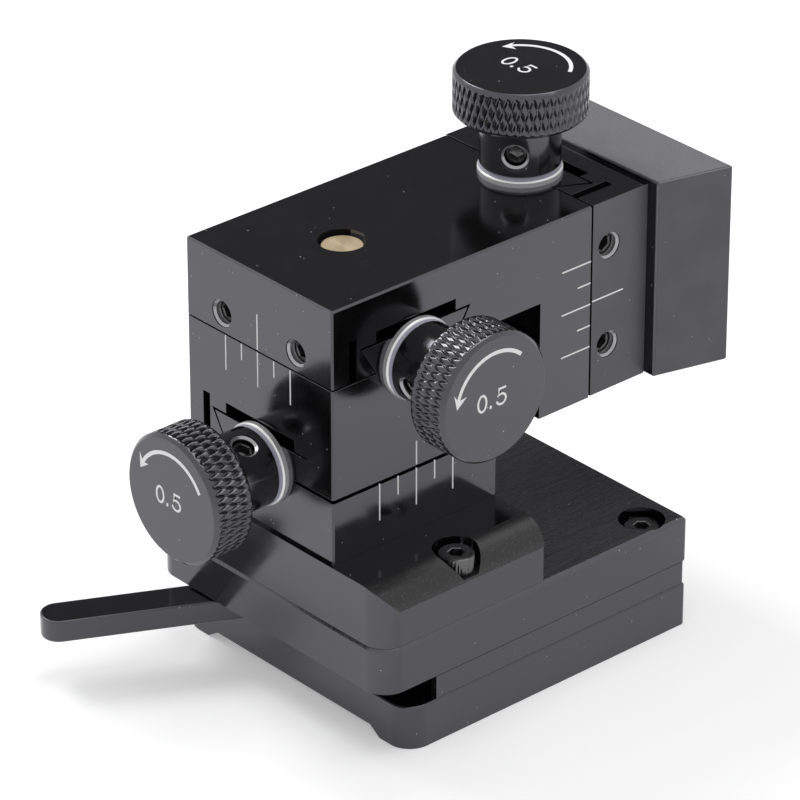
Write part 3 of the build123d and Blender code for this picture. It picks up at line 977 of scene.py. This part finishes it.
def dress_knob(axis):
    """The wheel on its hub, with the thread of the set screw's hole, the screw and the marks."""
    drive = DRIVES[axis]
    node = axis + "_knob"
    mouth = about("Z", SET_SCREW_ANGLES[axis]) @ Matrix.Translation((HUB_R, 0, SET_SCREW_OUT))
    mouth = mouth @ about("Y", 90)
    bm = wheel()
    join(bm, hub(axis))
    join(bm, thread_lining(depth=1.1, outer_r=1.46, inner_r=1.2, start=0.25), mouth, 1)
    new_piece(node + "_dressed", bm, ["knob_anodised", "bare_thread"], node, drive, replaced=(node,))

    screw = socket_head(radius=1.19, top_z=-0.85, bottom_z=-2.7, flats=1.5, depth=1.1, edge=0.14)
    bmesh.ops.transform(screw, matrix=mouth, verts=screw.verts)
    screw_node = node + "_set_screw"
    new_piece(screw_node + "_dressed", screw, ["black_steel"], screw_node, drive, replaced=(screw_node,))
    new_piece(node + "_marks", knob_marks(*ARROWS[axis]), ["white_ink"], node, drive)


def dress_lead_screw(axis):
    """A lead screw with a real thread and bevelled ends."""
    node = axis + "_lead_screw"
    low, high = reach_along(node, DRIVES[axis])
    crest_r = 1.49
    thread_depth = 0.27
    flank = 1.25
    end_r = 1.2
    step = THREAD_PITCH / 6
    rows = [low + k * step for k in range(int((high - low) / step) + 1)] + [high]

    def threaded(turn, z):
        phase = (z / THREAD_PITCH + turn / (2 * math.pi)) % 1.0
        crest = crest_r - thread_depth * (1 - min(1.0, abs(2 * phase - 1) * flank))
        return min(crest, end_r + min(z - low, high - z))

    bm = surface(LEAD_SCREW_STEPS, rows, threaded)
    new_piece(node + "_dressed", bm, ["stainless"], node, DRIVES[axis], replaced=(node,))


for axis in "xyz":
    dress_knob(axis)
    dress_lead_screw(axis)


# Screws
def dress_gib_screws(axis):
    screws = bmesh.new()
    for mouth in GIBS[axis]:
        screw = socket_head(radius=1.22, top_z=-GIB_RECESS, bottom_z=-3.0, flats=1.5, depth=1.0, edge=0.14)
        join(screws, screw, in_mm(mouth))
    node = axis + "_gib_screws"
    new_piece(node + "_dressed", screws, ["black_steel"], node, replaced=(node,))


def cap_screws(node, places, shank):
    """Cap screws whose heads stand on places with Z pointing out of the head."""
    shank_form = [(0, -shank), (0.8, -shank), (0.98, 0.2 - shank), (0.98, 0.1), (0, 0.1)]
    screws = bmesh.new()
    for place in places:
        head = socket_head(radius=1.9, top_z=2.0, bottom_z=0.0, flats=1.5, depth=1.15, edge=0.16, ridges=36)
        join(screws, head, place)
        join(screws, lathe(shank_form, SHANK_STEPS), place)
    new_piece(node + "_dressed", screws, ["black_steel"], node, replaced=(node,))


# Where the heads of the cap screws sit
BASE_SEATS = [(17.4, y, 10.4) for y in (-15.25, 15.25)]
FOOT_SEATS = [(-9.15, y, 17.45) for y in (-15.4, 15.4)]
ARM_SEATS = [
    (ARM_FACE_X - 2.3, TOWER_OFFSET + y, SLIDE_MID_Z + z) for y in (-8.5, 8.5) for z in (-7.5, 7.5)
]
LOWER_BLOCK_SEATS = [(TOWER_X, TOWER_OFFSET + y, 15.4) for y in (-7.5, 7.5)]


def turned_seats(seats, axis, degrees):
    return [Matrix.Translation(seat) @ about(axis, degrees) for seat in seats]


for axis in "xyz":
    dress_gib_screws(axis)
cap_screws("base_screws", turned_seats(BASE_SEATS, "Z", 17), shank=8.9)
cap_screws("foot_screws", turned_seats(FOOT_SEATS, "Z", 17), shank=15.95)
cap_screws("arm_screws", turned_seats(ARM_SEATS, "Y", 90), shank=8.8)
cap_screws("lower_block_screws", turned_seats(LOWER_BLOCK_SEATS, "X", 180), shank=8.0)


# Scales: five white lines on each fixed block and a pointer on what slides along it
NEAR_SIDE = axes((0, TOWER_NEAR, 0), (1, 0, 0), (0, -1, 0))
LEFT_SIDE = axes((TOWER_X0, TOWER_OFFSET, 0), (0, -1, 0), (-1, 0, 0))
X_ENDS = ((-14.65, 22.9), (-12.15, 25.0), (-9.65, 22.9), (-7.15, 25.0), (-4.65, 22.9))
Y_ENDS = ((-5.23, 35.9), (-2.73, 38.0), (-0.22, 35.9), (2.31, 38.0), (4.84, 35.9))
Z_ENDS = ((10.48, 42.53), (12.7, 40.03), (10.48, 37.55), (12.7, 35.06), (10.48, 32.59))
LINE_WIDTH = 0.17
LINE_LOW = -0.05
LINE_HIGH = 0.012


def lines(name, node, matrix, strokes):
    """White lines on a side of the tower, each from a start to an end."""
    bm = bmesh.new()
    for ends in strokes:
        join(bm, stroke(ends, LINE_WIDTH, LINE_LOW, LINE_HIGH))
    new_piece(name, bm, ["white_ink"], node, matrix)


lines("x_scale", "lower_block", NEAR_SIDE, [((x, 27.05), (x, end)) for x, end in X_ENDS])
lines("x_pointer", "middle_block", NEAR_SIDE, [((-9.65, 27.6), (-9.65, 30.2))])
lines("y_scale", "middle_block", LEFT_SIDE, [((y, 39.75), (y, end)) for y, end in Y_ENDS])
lines("y_pointer", "top_block", LEFT_SIDE, [((-0.22, 40.2), (-0.22, 44.1))])
lines("z_scale", "top_block", NEAR_SIDE, [((14.4, z), (end, z)) for end, z in Z_ENDS])
lines("z_pointer", "upright_slide", NEAR_SIDE, [((14.8, 37.74), (19.09, 37.74))])


# Camera, floor, card and light, all in metres
CAMERA_PLACE = (-0.3297422, -0.3672567, 0.2962969)
CAMERA_TARGET = (0.005847, 0.01009, 0.021255)
LIGHT_TARGET = (0, 0, 0.02)
FLOOR_HALF = 1.6
FLOOR_CELLS = 8
FLOOR_GLOW = 0.3
CARD_BEARING = (0.584, 0.656)
CARD_WIDTH = 1.15
CARD_FOOT = (0.95, 0.22)
CARD_HEAD = (0.57, 1.0)


def place_camera():
    data = bpy.data.cameras.new("camera")
    data.lens = 243.0
    data.sensor_width = 36.0
    data.clip_start = 0.01
    data.clip_end = 20.0
    camera = bpy.data.objects.new("camera", data)
    bpy.context.scene.collection.objects.link(camera)
    camera.matrix_world = aimed(CAMERA_PLACE, CAMERA_TARGET)
    bpy.context.scene.camera = camera


def stage_piece(name, bm, material):
    """Makes a piece of the studio from a mesh in metres."""
    mesh = bpy.data.meshes.new(name)
    bm.to_mesh(mesh)
    bm.free()
    mesh.materials.append(material)
    piece = bpy.data.objects.new(name, mesh)
    bpy.context.scene.collection.objects.link(piece)


def shown_rays(tree):
    """1 for the rays that show the background: the camera's, and those of gloss and glass."""
    rays = tree.nodes.new("ShaderNodeLightPath").outputs
    seen = rays["Is Camera Ray"]
    for name in ("Is Glossy Ray", "Is Transmission Ray"):
        either = tree.nodes.new("ShaderNodeMath")
        either.operation = "MAXIMUM"
        tree.links.new(seen, either.inputs[0])
        tree.links.new(rays[name], either.inputs[1])
        seen = either.outputs[0]
    return seen


def make_floor():
    """The floor, which glows a little where it is seen or mirrored, so that its shadow stays light."""
    bm = bmesh.new()
    step = 2 * FLOOR_HALF / FLOOR_CELLS
    for i in range(FLOOR_CELLS):
        for j in range(FLOOR_CELLS):
            x = -FLOOR_HALF + step * i
            y = -FLOOR_HALF + step * j
            corners = ((x, y), (x + step, y), (x + step, y + step), (x, y + step))
            bm.faces.new([bm.verts.new((*c, 0.0)) for c in corners])
    bmesh.ops.remove_doubles(bm, verts=bm.verts, dist=1e-6)
    finish = stage_paint("floor", (0.9, 0.9, 0.9), (0.91, 0.91, 0.912))
    light = finish.add("ShaderNodeEmission")
    finish.link(finish.math("MULTIPLY", shown_rays(finish.tree), FLOOR_GLOW), light.inputs["Strength"])
    total = finish.add("ShaderNodeAddShader")
    finish.link(finish.shader.outputs[0], total.inputs[0])
    finish.link(light.outputs[0], total.inputs[1])
    finish.link(total.outputs[0], finish.tree.nodes["Material Output"].inputs["Surface"])
    stage_piece("floor", bm, finish.done())


def make_card():
    """A dark card, which the top faces mirror, as they mirror a dark room in the photograph."""
    ahead = Vector((*CARD_BEARING, 0)).normalized()
    across = Vector((-ahead.y, ahead.x, 0)) * CARD_WIDTH / 2
    foot, head = (ahead * out + Vector((0, 0, up)) for out, up in (CARD_FOOT, CARD_HEAD))
    bm = bmesh.new()
    bm.faces.new([bm.verts.new(p) for p in (foot - across, foot + across, head + across, head - across)])
    finish = stage_paint("card", (0.13, 0.13, 0.135), (0.14, 0.14, 0.145), IOR=1.2)
    stage_piece("card", bm, finish.done())


def softbox(name, place, size, power):
    data = bpy.data.lights.new(name, "AREA")
    data.shape = "RECTANGLE"
    data.size = size
    data.size_y = size
    data.energy = power
    lamp = bpy.data.objects.new(name, data)
    bpy.context.scene.collection.objects.link(lamp)
    lamp.matrix_world = aimed(place, LIGHT_TARGET)


def make_world():
    """A white world where it is seen or mirrored, and a grey one as a light."""
    world = bpy.data.worlds.new("world")
    bpy.context.scene.world = world
    world.use_nodes = True
    tree = world.node_tree
    surround = tree.nodes["Background"]
    surround.inputs["Color"].default_value = (0.55, 0.55, 0.55, 1)
    backdrop = tree.nodes.new("ShaderNodeBackground")
    backdrop.inputs["Color"].default_value = (1, 1, 1, 1)
    either = tree.nodes.new("ShaderNodeMixShader")
    tree.links.new(shown_rays(tree), either.inputs[0])
    tree.links.new(surround.outputs[0], either.inputs[1])
    tree.links.new(backdrop.outputs[0], either.inputs[2])
    tree.links.new(either.outputs[0], tree.nodes["World Output"].inputs["Surface"])


place_camera()
make_floor()
make_card()
softbox("key_light", (-0.06, 0.69, 0.78), 0.4, 4.0)
softbox("top_light", (0.2, -0.1, 0.9), 0.6, 2.5)
make_world()

bpy.context.scene.view_settings.view_transform = "Standard"
